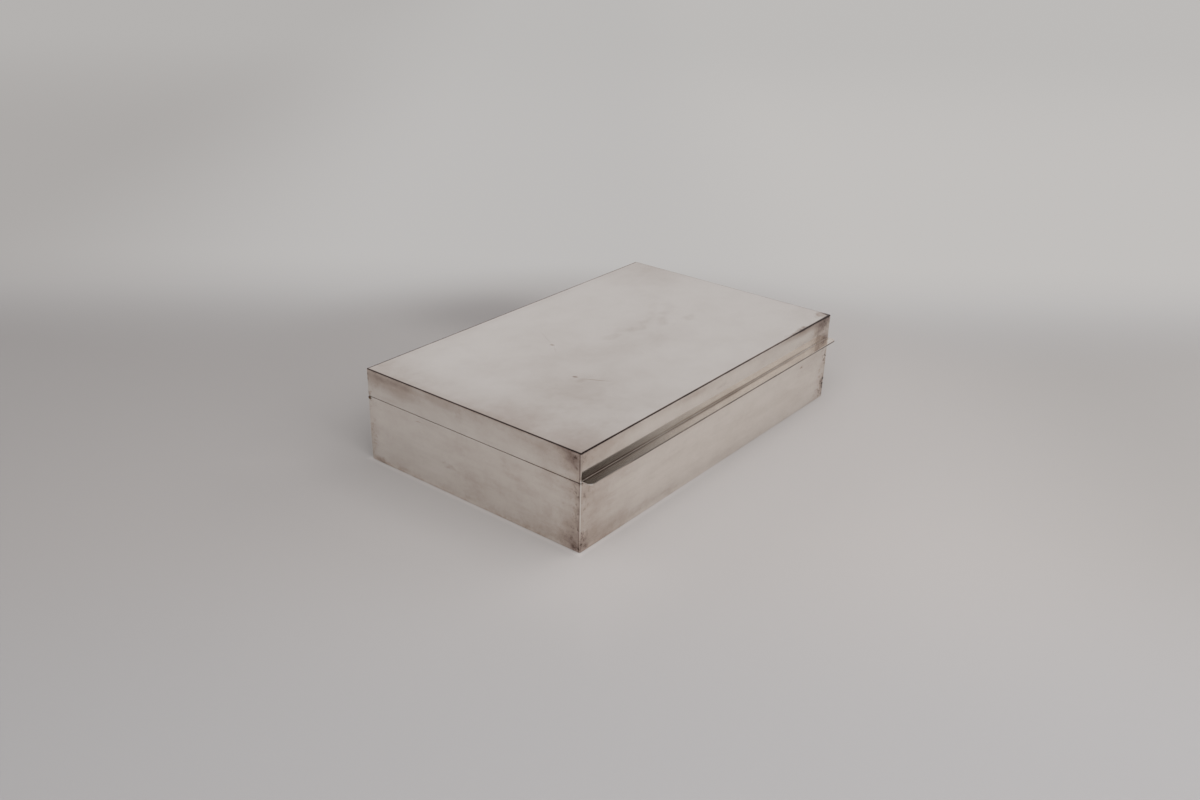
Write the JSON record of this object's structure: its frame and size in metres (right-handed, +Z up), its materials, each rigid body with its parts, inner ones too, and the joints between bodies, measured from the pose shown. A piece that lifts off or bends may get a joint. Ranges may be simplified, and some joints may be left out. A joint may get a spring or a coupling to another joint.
{
  "type": "silver-plated table box",
  "caption": "Rectangular silver-plated table box: flat hinged lid, full-length thumb lip along the front, concealed pin hinge and divided cedar lining.",
  "frame": {"origin": "centre of the base plate's underside, midway between the body's four walls", "axes": "+X along the long side, +Y back towards the hinge, +Z up; the thumb lip points to -Y"},
  "size_m": [0.264, 0.1703, 0.06],
  "materials": {
    "silver_plate": "worn satin silver plate with brown tarnish",
    "tarnished_plate": "dull tarnished silver plate",
    "brass_pin": "drawn brass wire",
    "cedar": "unvarnished planed cedar"
  },
  "bodies": {
    "body": {"base_plate": "silver_plate", "body_back_wall": "silver_plate", "body_front_wall": "silver_plate", "body_hinge_bearer": "silver_plate", "body_knuckle_1": "tarnished_plate", "body_knuckle_2": "tarnished_plate", "body_knuckle_3": "tarnished_plate", "body_knuckle_4": "tarnished_plate", "body_left_wall": "silver_plate", "body_right_wall": "silver_plate", "hinge_pin": "brass_pin", "lining_back": "cedar", "lining_divider": "cedar", "lining_floor": "cedar", "lining_front": "cedar", "lining_left": "cedar", "lining_right": "cedar"},
    "lid": {"lid_back_wall": "silver_plate", "lid_front_wall": "silver_plate", "lid_hinge_bearer": "silver_plate", "lid_knuckle_1": "tarnished_plate", "lid_knuckle_2": "tarnished_plate", "lid_knuckle_3": "tarnished_plate", "lid_left_wall": "silver_plate", "lid_lining_back_strip": "cedar", "lid_lining_board": "cedar", "lid_lining_front_strip": "cedar", "lid_lining_left_strip": "cedar", "lid_lining_right_strip": "cedar", "lid_right_wall": "silver_plate", "lid_top_plate": "silver_plate", "thumb_lip": "silver_plate"}
  },
  "joints": [
    {"name": "lid_hinge", "type": "hinge", "parent": "body", "child": "lid", "pos_m": [0, 0.08075, 0.0412], "axis": [-1, 0, 0], "range_deg": [0, 100]}
  ]
}
